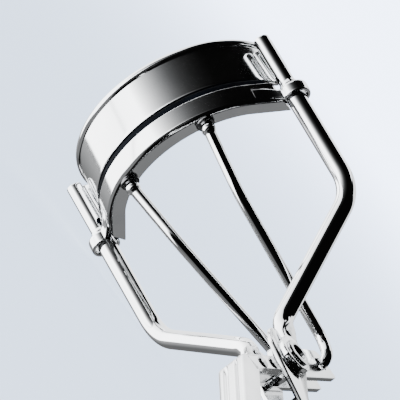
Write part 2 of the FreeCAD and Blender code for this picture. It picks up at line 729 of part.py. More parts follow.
back_ring = (-dim("back_ring_forward"), -dim("back_ring_depth"))
stem_top = back_ring[1] + ring_mid_radius
stem_back = back_ring[0] + dim("stem_half_width")
stem_front = back_ring[0] - dim("stem_half_width")
stem_foot = stem_top - dim("ring_sheet") / 8
back_outline = [by_pivot(-1.3, 5.4), by_pivot(3.4, 5.4), by_pivot(4.1, 1.4), by_pivot(3.2, -1.6),
                by_pivot(-1.6, -8.2), (stem_back, stem_foot), (stem_front, stem_foot),
                by_pivot(-4.7, -11.6), by_pivot(-4.2, -3.9), by_pivot(-3.4, 2.4)]
web = dim("cheek_sheet")
far = 8 * clear
back_hollow = [by_pivot(-far, far), by_pivot(far, far), by_pivot(far, -5.2),
               by_pivot(0.6 - web, -5.2), by_pivot(-1.8 - web, -8.6),
               (stem_back - web, stem_top + 1.8), (stem_front - 2.6, stem_top + 2.6),
               by_pivot(-far, -9)]
back_bores = [(pivot, dim("pin_radius")), (yoke_spot, dim("rivet_radius"))]
sub_part(handle("back", back_outline, back_hollow, cheek_outer, dim("cheek_inner"), back_ring,
                back_bores), "back_handle")

# ---------------------------------------------------------------- lay it down, check and write

doc.recompute()

# x of the tool points up, z of the tool points along +X, and the left side rests on the floor
on_side = Rotation(Vector(0, 0, 1), Vector(0, -1, 0), Vector(1, 0, 0), "ZYX")
pitch = Rotation(Vector(0, 1, 0), -dim("rest_pitch"))
roll = Rotation(Vector(1, 0, 0), dim("rest_roll"))
lying = roll.multiply(pitch).multiply(on_side)
turned = [item.Shape.copy() for item in SUB_PARTS]
box = FreeCAD.BoundBox()
for shape in turned:
    shape.Placement = Placement(Vector(), lying).multiply(shape.Placement)
    box.add(shape.optimalBoundingBox(False))
resting = Placement(Vector(-box.Center.x, -box.Center.y, -box.ZMin), lying)
for item in SUB_PARTS:
    item.Placement = resting.multiply(item.Placement)
doc.recompute()

for item in doc.Objects:
    if "Invalid" in item.State or "Error" in item.State:
        raise RuntimeError(f"{item.Label} failed: {item.State}")
for item in SUB_PARTS:
    if item.Shape.isNull() or not item.Shape.isValid():
        raise RuntimeError(f"{item.Label} has no valid shape")

os.makedirs("parts", exist_ok=True)
for item in SUB_PARTS:
    item.Shape.exportStep(f"parts/{item.Label}.step")
    print(item.Label, len(item.Shape.Solids), "solid(s)", round(item.Shape.Volume, 2), "mm3")
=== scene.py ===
import json
import math

import bmesh
import bpy
from mathutils import Matrix, Vector


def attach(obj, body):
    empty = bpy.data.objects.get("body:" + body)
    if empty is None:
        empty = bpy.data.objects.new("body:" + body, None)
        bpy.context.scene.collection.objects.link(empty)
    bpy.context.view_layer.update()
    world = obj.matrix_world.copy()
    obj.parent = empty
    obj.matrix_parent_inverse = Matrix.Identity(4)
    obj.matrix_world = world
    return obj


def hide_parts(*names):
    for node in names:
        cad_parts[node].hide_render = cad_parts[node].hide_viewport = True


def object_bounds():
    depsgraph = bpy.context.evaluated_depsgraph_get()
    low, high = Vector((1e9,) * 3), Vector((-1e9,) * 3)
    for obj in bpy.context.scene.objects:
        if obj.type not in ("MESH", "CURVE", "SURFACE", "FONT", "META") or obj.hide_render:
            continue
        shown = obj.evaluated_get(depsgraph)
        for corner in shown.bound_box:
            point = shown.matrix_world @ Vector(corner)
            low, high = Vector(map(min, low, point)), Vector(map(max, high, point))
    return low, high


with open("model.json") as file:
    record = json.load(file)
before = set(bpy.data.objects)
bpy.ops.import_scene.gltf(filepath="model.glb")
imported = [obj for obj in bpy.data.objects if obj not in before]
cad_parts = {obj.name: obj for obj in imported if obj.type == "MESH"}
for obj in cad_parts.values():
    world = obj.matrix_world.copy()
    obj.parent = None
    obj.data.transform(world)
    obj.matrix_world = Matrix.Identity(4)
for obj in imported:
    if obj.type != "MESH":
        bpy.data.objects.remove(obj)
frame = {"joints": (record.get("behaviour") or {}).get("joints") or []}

# The curler is shaped in its own tool frame, in millimetres:
#   x  from the left rail to the right rail    y  back    z  up the jaws' axis
# and laid down in the CAD model's frame by the hinge and the slide that the record gives.

cad_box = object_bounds()
MM = 0.001
JOINTS = {joint["name"]: joint for joint in frame["joints"]}

# ------------------------------------------------------------------ sizes

# rails: depths are measured down from the jaws' level
RAIL_X = 18.2
RAIL_LEAN = math.radians(6.7)
RAIL_LEVEL_DEPTH = 8.7
RAIL_TOP_DEPTH = 0.3
RAIL_TOP_RADIUS = 1.2
WIRE_RADIUS = 1.45
RAIL_NECK_DEPTH = 8.9
RAIL_BEND_DEPTH = 28.5

# upper jaw: a sheet arc about (0, BAND_BACK), with a knuckle round each rail
BAND_MIDDLE = 16.61
BAND_BACK = 4.6
BAND_TOP = 1.3
BAND_BOTTOM = -6.7
SHEET = 0.6
RIM_RADIUS = 0.7
HEM_THICKNESS = 0.9
HEM_HEIGHT = 0.8
KNUCKLE_INNER = 1.22
KNUCKLE_BOTTOM = -6.6
KNUCKLE_TOP = -0.3
KNUCKLE_START = math.radians(118)
KNUCKLE_END = math.radians(62)
BAND_ARC = math.radians(79)

# lower jaw: a channel about (0, LOWER_BACK), with guides, and the pad in it
LOWER_BACK = 4.9
LOWER_RADIUS = 17.2
LOWER_WIDTH = 2.8
LOWER_SHEET = 0.45
LOWER_TOP = -7.78
LOWER_BOTTOM = -11.2
LOWER_ARC = math.radians(55)
LOWER_SWELL = 0.5
LOWER_END_ROUND = 1.3
LOWER_END = 16.5
LOWER_CORNER = 0.7
PAD_END = 15.9
GUIDE_TOP = -9.85
GUIDE_BOTTOM = -11.65
GUIDE_LOOP = 1.95
GUIDE_SHIFT = 0.15
PAD_TOP = -6.8

# push rods and their ball ends
BALL_X = 7.18
BALL_Y = -9.0
BALL_Z = -12.6
BALL_RADIUS = 1.1
ROD_RADIUS = 0.85

# hinge and crank; PIVOT and BACK_RING are (y, z)
PIVOT = (-10.6, -52.4)
PIN_RADIUS = 1.5
CRANK_BACK = 13.2
CRANK_UP = 4.03
CRANK_INNER = 0.85
CRANK_OUTER = 1.75
CHEEK_INNER = 1.85
CHEEK_OUTER = 2.55
PADDLE_OUTER = 3.65

# handles and finger rings
FRONT_HALF_WIDTH = 2.5
FRONT_BEAM = 16.6
FRONT_LEG = 29.7
FRONT_LEG_SLOPE = math.radians(35.4)
RING_INNER = 11.5
RING_SHEET = 0.8
RING_OFFSET = 3.5
BACK_RING = (-15.0, -86.0)

# ------------------------------------------------------------------ the tool frame in the row frame

tool_x = -Vector(JOINTS["handle_hinge"]["axis"]).normalized()
rail_down = Vector(JOINTS["jaw_slide"]["axis"]).normalized()
across = tool_x.cross(rail_down)
tool_y = math.sin(RAIL_LEAN) * rail_down + math.cos(RAIL_LEAN) * across
tool_z = -math.cos(RAIL_LEAN) * rail_down + math.sin(RAIL_LEAN) * across
tool_origin = (Vector(JOINTS["handle_hinge"]["pos_m"])
               - (tool_y * PIVOT[0] + tool_z * PIVOT[1]) * MM)


def to_row(point):
    return tool_origin + (tool_x * point[0] + tool_y * point[1] + tool_z * point[2]) * MM


def direction(way):
    return (tool_x * way[0] + tool_y * way[1] + tool_z * way[2]).normalized()


# ------------------------------------------------------------------ mesh helpers

WELD_DISTANCE = 0.002


def smooth_step(value, low, high):
    share = min(max((value - low) / (high - low), 0.0), 1.0)
    return share * share * (3 - 2 * share)


def mix(a, b, share):
    return a + (b - a) * share


def new_piece(name, verts, faces, sharp=40):
    """A mesh object from tool-frame points; edges sharper than this many degrees stay crisp."""
    mesh = bpy.data.meshes.new(name)
    mesh.from_pydata([to_row(v) for v in verts], [], faces)
    work = bmesh.new()
    work.from_mesh(mesh)
    bmesh.ops.remove_doubles(work, verts=work.verts, dist=WELD_DISTANCE * MM)
    bmesh.ops.recalc_face_normals(work, faces=work.faces)
    work.to_mesh(mesh)
    work.free()
    mesh.shade_smooth()
    mesh.set_sharp_from_angle(angle=math.radians(sharp))
    piece = bpy.data.objects.new(name, mesh)
    bpy.context.scene.collection.objects.link(piece)
    return piece


def skin(rings, caps=True):
    """Verts and faces of a closed-section tube through rings of equal length."""
    count = len(rings[0])
    verts = [point for ring in rings for point in ring]
    faces = []
    for row in range(len(rings) - 1):
        for index in range(count):
            after = (index + 1) % count
            faces.append((row * count + index, row * count + after,
                          (row + 1) * count + after, (row + 1) * count + index))
    if caps:
        faces.append(tuple(range(count)))
        last = (len(rings) - 1) * count
        faces.append(tuple(range(last, last + count)))
    return verts, faces


def merge(parts):
    """One verts and faces pair from several."""
    verts = []
    faces = []
    for part_verts, part_faces in parts:
        base = len(verts)
        verts.extend(part_verts)
        faces.extend(tuple(index + base for index in face) for face in part_faces)
    return verts, faces


def fillet(corners, radii, turn_step=12):
    """A closed outline of 2-D corners with round ones; a radius of 0 leaves a corner sharp."""
    outline = []
    for index, corner in enumerate(corners):
        here = Vector(corner)
        before = Vector(corners[index - 1]) - here
        after = Vector(corners[(index + 1) % len(corners)]) - here
        radius = radii[index] if isinstance(radii, (list, tuple)) else radii
        half = before.angle(after) / 2
        reach = radius / math.tan(half) if radius else 0
        reach = min(reach, before.length * 0.49, after.length * 0.49)
        if reach < 1e-4:
            outline.append(here)
            continue
        real_radius = reach * math.tan(half)
        first = here + before.normalized() * reach
        last = here + after.normalized() * reach
        centre = here + (before.normalized() + after.normalized()).normalized() * (
            real_radius / math.sin(half))
        steps = max(2, int((180 - math.degrees(2 * half)) / turn_step) + 1)
        start = first - centre
        end = last - centre
        for step in range(steps + 1):
            outline.append(centre + start.lerp(end, step / steps).normalized() * real_radius)
    return outline


def rounded_path(points, radii, step=0.8, turn_step=4):
    """3-D points along straight runs with a tangent arc at each inner point."""
    path = [points[0]]

    def run_to(goal):
        start = path[-1]
        length = (goal - start).length
        count = max(1, int(length / step))
        for number in range(1, count + 1):
            path.append(start.lerp(goal, number / count))

    for index in range(1, len(points) - 1):
        corner = points[index]
        into = (points[index - 1] - corner).normalized()
        out = (points[index + 1] - corner).normalized()
        half_turn = (math.pi - into.angle(out)) / 2
        radius = radii[index - 1]
        tangent = radius * math.tan(half_turn)
        centre = corner + (into + out).normalized() * (radius / math.cos(half_turn))
        run_to(corner + into * tangent)
        start = path[-1] - centre
        end = corner + out * tangent - centre
        turn = 2 * half_turn
        count = max(2, int(math.degrees(turn) / turn_step))
        for number in range(1, count + 1):
            share = number / count
            weight_start = math.sin((1 - share) * turn) / math.sin(turn)
            weight_end = math.sin(share * turn) / math.sin(turn)
            path.append(centre + start * weight_start + end * weight_end)
    run_to(points[-1])
    return path


def lengths_along(path):
    total = [0.0]
    for before, after in zip(path, path[1:]):
        total.append(total[-1] + (after - before).length)
    return total


def tangents_of(path):
    result = []
    for index in range(len(path)):
        before = path[max(index - 1, 0)]
        after = path[min(index + 1, len(path) - 1)]
        result.append((after - before).normalized())
    return result


def chord(radius, offset, smallest):
    """Half the width of a circle this far from its centre; 0 outside it."""
    if abs(offset) >= radius:
        return 0
    return math.sqrt(max(radius ** 2 - offset ** 2, smallest ** 2))


def superellipse(half_a, half_b, power, count):
    """A closed outline: an ellipse at power 2, squarer above it."""
    points = []
    for index in range(count):
        angle = 2 * math.pi * index / count
        c, s = math.cos(angle), math.sin(angle)
        reach = (abs(c) ** power + abs(s) ** power) ** (-1 / power)
        points.append((half_a * reach * c, half_b * reach * s))
    return points


def sweep(path, section_at, side_hint=None):
    """Rings of a section carried along a path. section_at(length, total) gives 2-D points."""
    tangents = tangents_of(path)
    along = lengths_along(path)
    rings = []
    side = side_hint
    if side is None:
        side = Vector((1, 0, 0)) if abs(tangents[0].x) < 0.9 else Vector((0, 1, 0))
    for point, tangent, length in zip(path, tangents, along):
        if side_hint is not None:
            side = side_hint
        side = (side - tangent * side.dot(tangent)).normalized()
        up = tangent.cross(side)
        rings.append([point + side * a + up * b for a, b in section_at(length, along[-1])])
    return rings


def lathe(profile, centre, axis=(1, 0, 0), count=48):
    """A turned solid: (distance along the axis, radius) points about a line through centre."""
    axis = Vector(axis).normalized()
    side = axis.orthogonal().normalized()
    up = axis.cross(side)
    base = Vector(centre)
    rings = []
    for along, radius in profile:
        ring = []
        for index in range(count):
            angle = 2 * math.pi * index / count
            reach = side * math.cos(angle) + up * math.sin(angle)
            ring.append(base + axis * along + reach * max(radius, 1e-4))
        rings.append(ring)
    return skin(rings)


def ring_band(centre_yz, profile, count=128):
    """A ring about the x axis: a closed (x, radius) outline turned about a centre in y and z."""
    rings = []
    for index in range(count):
        angle = 2 * math.pi * index / count
        c, s = math.cos(angle), math.sin(angle)
        rings.append([Vector((x, centre_yz[0] + r * c, centre_yz[1] + r * s)) for x, r in profile])
    verts, faces = skin(rings, caps=False)
    size = len(profile)
    last = (count - 1) * size
    for index in range(size):
        after = (index + 1) % size
        faces.append((last + index, last + after, after, index))
    return verts, faces


def slab(outline, x_start, x_end):
    """A flat plate from a (y, z) outline."""
    rings = [[Vector((x, y, z)) for y, z in outline] for x in (x_start, x_end)]
    return skin(rings)


def add_bevel(piece, width, segments=3, angle=35):
    bevel = piece.modifiers.new("edges", "BEVEL")
    bevel.width = width * MM
    bevel.segments = segments
    bevel.limit_method = "ANGLE"
    bevel.angle_limit = math.radians(angle)
    bevel.harden_normals = True
    bevel.use_clamp_overlap = True
    return piece


def settle(piece):
    """Apply the piece's modifiers to its mesh."""
    depsgraph = bpy.context.evaluated_depsgraph_get()
    mesh = bpy.data.meshes.new_from_object(piece.evaluated_get(depsgraph))
    piece.modifiers.clear()
    piece.data = mesh
    return piece


def carve(piece, tools, operation="DIFFERENCE"):
    """Boolean the piece with scratch solids, which are then removed."""
    for verts, faces in tools:
        tool = new_piece("scratch", verts, faces)
        change = piece.modifiers.new("carve", "BOOLEAN")
        change.operation = operation
        change.solver = "EXACT"
        change.object = tool
        settle(piece)
        bpy.data.objects.remove(tool)
    return piece


# ------------------------------------------------------------------ materials

CLOUD_SCALE = 160
SCRATCH_DEPTH = 0.002
SCRATCH_STRETCH = (1, 6, 6)
GRAIN_SCALE = 9000
GRAIN_DEPTH = 0.02
CHROME_DARK = (0.80, 0.81, 0.82)
CHROME_LIGHT = (0.88, 0.885, 0.89)


def shader_nodes(name):
    material = bpy.data.materials.new(name)
    material.use_nodes = True
    nodes = material.node_tree.nodes
    links = material.node_tree.links
    return material, nodes, links, nodes["Principled BSDF"]


def noise(nodes, links, coordinates, scale, detail, stretch=(1, 1, 1)):
    mapping = nodes.new("ShaderNodeMapping")
    mapping.inputs["Scale"].default_value = stretch
    texture = nodes.new("ShaderNodeTexNoise")
    texture.inputs["Scale"].default_value = scale
    texture.inputs["Detail"].default_value = detail
    links.new(coordinates, mapping.inputs["Vector"])
    links.new(mapping.outputs["Vector"], texture.inputs["Vector"])
    return texture.outputs["Fac"]


def ramp(nodes, links, value, low, high, start=0.35, end=0.65):
    scale = nodes.new("ShaderNodeValToRGB")
    scale.color_ramp.elements[0].position = start
    scale.color_ramp.elements[1].position = end
    scale.color_ramp.elements[0].color = (*low, 1)
    scale.color_ramp.elements[1].color = (*high, 1)
    links.new(value, scale.inputs["Fac"])
    return scale.outputs["Color"]


def steel(name, dark, light, rough_low, rough_high, grain, scratch_height):
    """Plated steel: cloudy plating, fine grain in the gloss and hair-thin scratches."""
    material, nodes, links, shader = shader_nodes(name)
    place = nodes.new("ShaderNodeTexCoord").outputs["Object"]
    cloud = noise(nodes, links, place, CLOUD_SCALE, 3)
    links.new(ramp(nodes, links, cloud, dark, light), shader.inputs["Base Color"])
    fine = noise(nodes, links, place, grain, 4)
    gloss = ramp(nodes, links, fine, (rough_low,) * 3, (rough_high,) * 3)
    links.new(gloss, shader.inputs["Roughness"])
    scratch = noise(nodes, links, place, grain * 0.3, 1, SCRATCH_STRETCH)
    bump = nodes.new("ShaderNodeBump")
    bump.inputs["Strength"].default_value = scratch_height
    bump.inputs["Distance"].default_value = SCRATCH_DEPTH * MM
    links.new(scratch, bump.inputs["Height"])
    links.new(bump.outputs["Normal"], shader.inputs["Normal"])
    shader.inputs["Metallic"].default_value = 1.0
    return material


def silicone(name):
    """Soft black silicone: dull, with a faint blue cast and a fine moulded grain."""
    material, nodes, links, shader = shader_nodes(name)
    place = nodes.new("ShaderNodeTexCoord").outputs["Object"]
    cloud = noise(nodes, links, place, 300, 4)
    links.new(ramp(nodes, links, cloud, (0.0012, 0.0018, 0.003), (0.003, 0.0045, 0.007)),
              shader.inputs["Base Color"])
    fine = noise(nodes, links, place, GRAIN_SCALE, 3)
    links.new(ramp(nodes, links, fine, (0.5,) * 3, (0.65,) * 3), shader.inputs["Roughness"])
    bump = nodes.new("ShaderNodeBump")
    bump.inputs["Strength"].default_value = 0.12
    bump.inputs["Distance"].default_value = GRAIN_DEPTH * MM
    links.new(fine, bump.inputs["Height"])
    links.new(bump.outputs["Normal"], shader.inputs["Normal"])
    shader.inputs["Specular IOR Level"].default_value = 0.04
    return material


JAW_STEEL = steel("jaw_chrome", CHROME_DARK, CHROME_LIGHT, 0.07, 0.13, 6000, 0.25)
WIRE_STEEL = steel("wire_chrome", CHROME_DARK, CHROME_LIGHT, 0.03, 0.06, 5000, 0.10)
HANDLE_STEEL = steel("handle_chrome", (0.74, 0.75, 0.76), (0.83, 0.835, 0.84), 0.08, 0.14, 5000, 0.15)
RIVET_STEEL = steel("rivet_steel", (0.50, 0.51, 0.52), (0.62, 0.625, 0.63), 0.10, 0.18, 8000, 0.20)
# The ball cups' steel has a dark base colour: a painted dark reflection that stands in for the dark
# reflections in the cups, which are bright plating like the rest.
SEAT_PAINTED_REFLECTION_STEEL = steel("seat_painted_reflection_steel", (0.10, 0.10, 0.105), (0.17, 0.17, 0.175), 0.08, 0.16, 8000, 0.20)
SILICONE = silicone("black_silicone")


def fit_out(piece, body, node, material):
    """Give a piece its finish, hide the CAD node it stands for, and attach it to the body it moves with."""
    piece.data.materials.clear()
    piece.data.materials.append(material)
    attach(piece, body)
    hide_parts(node)
    return piece


# ------------------------------------------------------------------ rails

def rail_y(z):
    return (-z - RAIL_LEVEL_DEPTH) * math.tan(RAIL_LEAN)


def rail_point(depth):
    return Vector((RAIL_X, rail_y(-depth), -depth))


def mirrored(points, side):
    return [Vector((side * p.x, p.y, p.z)) for p in points]


PADDLE_MIDDLE = (CHEEK_OUTER + PADDLE_OUTER) / 2
PADDLE_HALF = (PADDLE_OUTER - CHEEK_OUTER) / 2
EYE_RADIUS = 2.9
WIRE_END = Vector((PADDLE_MIDDLE, -8.6, -45.6))
RAIL_BEND_RADII = [7.5, 4.0]
FLATTEN_START = 3.2
FLATTEN_END = 0.6
FLAT_SHANK = 1.75
FLAT_SQUARENESS = 7
NECK_HALF_TAPER = 0.3
END_BEVEL = 0.15


def rail_wire(side):
    """Round wire that narrows where the jaws sit and is hammered flat round the pivot."""
    pivot = Vector((PADDLE_MIDDLE, *PIVOT))
    tip = pivot + (pivot - WIRE_END).normalized() * EYE_RADIUS
    route = [rail_point(RAIL_TOP_DEPTH), rail_point(RAIL_BEND_DEPTH), WIRE_END, tip]
    path = rounded_path(mirrored(route, side), RAIL_BEND_RADII, step=0.35)
    to_neck = (RAIL_NECK_DEPTH - RAIL_TOP_DEPTH) / math.cos(RAIL_LEAN)

    def section(length, total):
        left = total - length
        flat = 1 - smooth_step(left, 2 * EYE_RADIUS + FLATTEN_END, 2 * EYE_RADIUS + FLATTEN_START)
        thicker = smooth_step(length, to_neck - NECK_HALF_TAPER, to_neck + NECK_HALF_TAPER)
        round_radius = mix(RAIL_TOP_RADIUS, WIRE_RADIUS, thicker)
        round_radius -= END_BEVEL * (1 - min(length / END_BEVEL, 1)) ** 2
        eye = chord(EYE_RADIUS, EYE_RADIUS - left, smallest=0.05)
        shank = FLAT_SHANK if left > EYE_RADIUS else 0
        half_a = mix(round_radius, PADDLE_HALF, flat)
        half_b = mix(round_radius, max(eye, shank), flat)
        return superellipse(half_a, half_b, mix(2, FLAT_SQUARENESS, flat), 48)

    way = (path[1] - path[0]).normalized()
    bevel = [path[0] + way * END_BEVEL * step / 4 for step in range(1, 4)]
    path = path[:1] + bevel + path[1:]
    rings = sweep(path, section, Vector((1, 0, 0)))
    name = "left_rail" if side < 0 else "right_rail"
    piece = new_piece(name + "_polished_wire", *skin(rings), sharp=38)
    return fit_out(piece, "frame", name + "_wire", WIRE_STEEL)


# ------------------------------------------------------------------ upper jaw

# Shares of the way from the band's middle to its end: where the arc stops, where the full
# section narrows to the plain knuckle, and where the wrap round the back of the rail begins.
ARC_SHARE = 0.84
NARROWING = (0.852, 0.866)
FINE_SHARE = 0.87
WRAP_SHARE = 0.92
BAND_STOPS = ((ARC_SHARE, 100), (FINE_SHARE, 10), (WRAP_SHARE, 12), (1.0, 14))
EDGE_ROUND = 0.12
EDGE_CORNER = 0.035
HEM_BEND = 0.3
BEND_EASE = 0.42


def band_outline(full):
    """The sheet's section: (outward from its middle, z), with equal counts either way.
    full has a round roll along the top and a folded hem inside the bottom."""
    half = SHEET / 2
    rim = RIM_RADIUS if full else half
    start = -math.acos(half / rim)
    rim_z = BAND_TOP - rim
    face_top = rim_z + rim * math.sin(start)
    hem_in = half - HEM_THICKNESS if full else -half
    hem_bulge = HEM_BEND if full else 0
    hem_top = BAND_BOTTOM + HEM_HEIGHT
    rows = 14
    points = [(half - EDGE_ROUND, BAND_BOTTOM), (half - EDGE_CORNER, BAND_BOTTOM + EDGE_CORNER)]
    points += [(half, mix(BAND_BOTTOM + EDGE_ROUND, face_top, row / rows)) for row in range(rows)]
    for step in range(21):
        angle = mix(start, math.pi - start, step / 20)
        points.append((rim * math.cos(angle), rim_z + rim * math.sin(angle)))
    points += [(-half, mix(face_top, hem_top, row / rows)) for row in range(1, rows)]
    for step in range(9):
        angle = math.pi * (0.5 + step / 8)
        across = hem_in + HEM_BEND + hem_bulge * math.cos(angle)
        points.append((across, mix(hem_top, BAND_BOTTOM, step / 8)))
    return points


def band_column(share, z):
    """A point of the sheet's middle and its outward way, for share from 0, the middle, to 1."""
    rail = Vector((RAIL_X, rail_y(z)))
    wrap = KNUCKLE_INNER + SHEET / 2
    if share <= ARC_SHARE:
        angle = BAND_ARC * share / ARC_SHARE
        way = Vector((math.sin(angle), -math.cos(angle)))
        return Vector((0, BAND_BACK)) + way * BAND_MIDDLE, way
    if share >= WRAP_SHARE:
        angle = mix(KNUCKLE_START, KNUCKLE_END, (share - WRAP_SHARE) / (1 - WRAP_SHARE))
        way = Vector((math.cos(angle), math.sin(angle)))
        return rail + way * wrap, -way
    leave_way = Vector((math.cos(BAND_ARC), math.sin(BAND_ARC)))
    leave = Vector((0, BAND_BACK)) + Vector((leave_way.y, -leave_way.x)) * BAND_MIDDLE
    meet_way = Vector((math.sin(KNUCKLE_START), -math.cos(KNUCKLE_START)))
    meet = rail + Vector((math.cos(KNUCKLE_START), math.sin(KNUCKLE_START))) * wrap
    handle = (meet - leave).length * BEND_EASE
    near = leave + leave_way * handle
    far = meet - meet_way * handle
    t = (share - ARC_SHARE) / (WRAP_SHARE - ARC_SHARE)
    a, b, c = leave.lerp(near, t), near.lerp(far, t), far.lerp(meet, t)
    d, e = a.lerp(b, t), b.lerp(c, t)
    tangent = (e - d).normalized()
    return d.lerp(e, t), Vector((tangent.y, -tangent.x))


def upper_band():
    """The curved sheet band, rolled along its top, hemmed below and wrapped round the rails."""
    full = band_outline(True)
    plain = band_outline(False)
    shares = [0.0]
    for stop, steps in BAND_STOPS:
        start = shares[-1]
        shares += [mix(start, stop, step / steps) for step in range(1, steps + 1)]
    stations = [-share for share in reversed(shares[1:])] + shares
    rings = []
    for station in stations:
        share = abs(station)
        side = -1 if station < 0 else 1
        narrow = smooth_step(share, *NARROWING)
        ring = []
        for (d_full, z_full), (d_plain, z_plain) in zip(full, plain):
            height = (z_plain - BAND_BOTTOM) / (BAND_TOP - BAND_BOTTOM)
            z = mix(z_full, mix(KNUCKLE_BOTTOM, KNUCKLE_TOP, height), narrow)
            d = mix(d_full, d_plain, narrow)
            point, way = band_column(share, z)
            ring.append(Vector((side * (point.x + way.x * d), point.y + way.y * d, z)))
        rings.append(ring)
    piece = new_piece("upper_jaw_band", *skin(rings), sharp=42)
    return fit_out(piece, "frame", "upper_jaw", JAW_STEEL)


# ------------------------------------------------------------------ lower jaw and pad

GUIDE_HALF_SHEET = 0.28
GUIDE_ROOT = 0.4
GUIDE_LEAVES = 1.6
GUIDE_FOLD = 3.6
GUIDE_START = 238
GUIDE_TURN_STEP = 8
GUIDE_TURN_STEPS = 34
STUD_HOLE = 0.4
PAD_GAP = 0.03
PAD_FLOOR_GAP = 0.02
PAD_INSET = 0.1


def lower_bar(outline, end_across):
    """A (distance from the arc's centre, z) outline carried along the lower jaw: an arc that is
    widest in the middle, then a straight run at each end, mitred at x = end_across with its
    inner corner rounded."""
    rings = []
    arc_steps = 60
    run_steps = 12
    for index in range(-arc_steps - run_steps, arc_steps + run_steps + 1):
        side = -1 if index < 0 else 1
        angle = LOWER_ARC * min(abs(index), arc_steps) / arc_steps
        run = max(abs(index) - arc_steps, 0) / run_steps
        s, c = math.sin(angle), math.cos(angle)
        swell = LOWER_SWELL * (1 - (angle / LOWER_ARC) ** 2) / LOWER_WIDTH
        ring = []
        for r, z in outline:
            inward = min(max(LOWER_RADIUS - r, 0) / LOWER_WIDTH, 1)
            end_back = LOWER_END_ROUND * (1 - math.sqrt(1 - inward ** 2))
            r -= swell * (LOWER_RADIUS - r)
            reach = run * ((end_across - r * s) / c - end_back)
            ring.append(Vector((side * (r * s + reach * c), LOWER_BACK - r * c + reach * s, z)))
        rings.append(ring)
    return rings


def guide_strip(side):
    """The strip that folds out of the jaw's end and loops round the front of the rail."""
    middle_z = (GUIDE_TOP + GUIDE_BOTTOM) / 2
    half_height = (GUIDE_TOP - GUIDE_BOTTOM) / 2
    centre = Vector((RAIL_X + GUIDE_SHIFT, rail_y(middle_z)))
    wall = LOWER_RADIUS - LOWER_SHEET / 2
    s, c = math.sin(LOWER_ARC), math.cos(LOWER_ARC)
    way = Vector((c, s))
    foot = Vector((wall * s, LOWER_BACK - wall * c))
    leaves = foot + way * GUIDE_LEAVES
    fold = foot + way * GUIDE_FOLD

    def on_loop(degrees):
        angle = math.radians(degrees)
        return centre + Vector((math.cos(angle), math.sin(angle))) * GUIDE_LOOP

    bend = [foot + way * GUIDE_ROOT, leaves]
    for step in range(1, 13):
        share = step / 12
        bend.append(leaves.lerp(fold, share).lerp(fold.lerp(on_loop(GUIDE_START), share), share))
    bend += [on_loop(GUIDE_START + GUIDE_TURN_STEP * step) for step in range(1, GUIDE_TURN_STEPS + 1)]
    path = [Vector((side * p.x, p.y, 0)) for p in bend]
    root_z = LOWER_BOTTOM + LOWER_CORNER + half_height
    lift = [mix(root_z - middle_z, 0, smooth_step(index, 1, 15)) for index in range(len(path))]
    upright = Vector((0, 0, 1))
    rings = []
    for point, tangent, up in zip(path, tangents_of(path), lift):
        out = tangent.cross(upright).normalized()
        rings.append([point + out * a + upright * (middle_z + up + b)
                      for a, b in superellipse(GUIDE_HALF_SHEET, half_height, 5, 36)])
    return skin(rings)


def lower_channel():
    """The folded channel with a hole for each ball seat's stud, and a guide at each end."""
    inner = LOWER_RADIUS - LOWER_WIDTH
    floor = LOWER_BOTTOM + LOWER_SHEET
    corners = [(LOWER_RADIUS, LOWER_TOP), (LOWER_RADIUS, LOWER_BOTTOM), (inner, LOWER_BOTTOM),
               (inner, LOWER_TOP), (inner + LOWER_SHEET, LOWER_TOP), (inner + LOWER_SHEET, floor),
               (LOWER_RADIUS - LOWER_SHEET, floor), (LOWER_RADIUS - LOWER_SHEET, LOWER_TOP)]
    outline = fillet(corners, [0.1, LOWER_CORNER, 0.25, 0.1, 0.1, 0.3, 0.3, 0.1], 8)
    piece = new_piece("lower_jaw_channel", *skin(lower_bar(outline, LOWER_END)), sharp=50)
    bore = [(-1, STUD_HOLE), (3, STUD_HOLE)]
    carve(piece, [lathe(bore, (side * BALL_X, BALL_Y, LOWER_BOTTOM - 1), (0, 0, 1), 24)
                  for side in (-1, 1)])
    carve(piece, [guide_strip(-1), guide_strip(1)], "UNION")
    piece.data.shade_smooth()
    piece.data.set_sharp_from_angle(angle=math.radians(45))
    add_bevel(piece, 0.06, 2, 50)
    return fit_out(piece, "lower_jaw", "lower_jaw", JAW_STEEL)


def pad_strip():
    """The silicone strip: its root fills the channel and its crown stands above the walls."""
    inner = LOWER_RADIUS - LOWER_WIDTH
    root_in = inner + LOWER_SHEET + PAD_GAP
    root_out = LOWER_RADIUS - LOWER_SHEET - PAD_GAP
    crown_in = inner + PAD_INSET
    crown_out = LOWER_RADIUS - PAD_INSET
    floor = LOWER_BOTTOM + LOWER_SHEET + PAD_FLOOR_GAP
    brim = LOWER_TOP + PAD_GAP
    corners = [(root_out, floor), (root_in, floor), (root_in, brim), (crown_in, brim),
               (crown_in, PAD_TOP), (crown_out, PAD_TOP), (crown_out, brim), (root_out, brim)]
    outline = fillet(corners, [0.3, 0.3, 0.05, 0.15, 0.3, 0.3, 0.15, 0.05], 15)
    piece = new_piece("silicone_strip", *skin(lower_bar(outline, PAD_END)), sharp=50)
    add_bevel(piece, 0.2, 3, 50)
    return fit_out(piece, "lower_jaw", "silicone_pad", SILICONE)


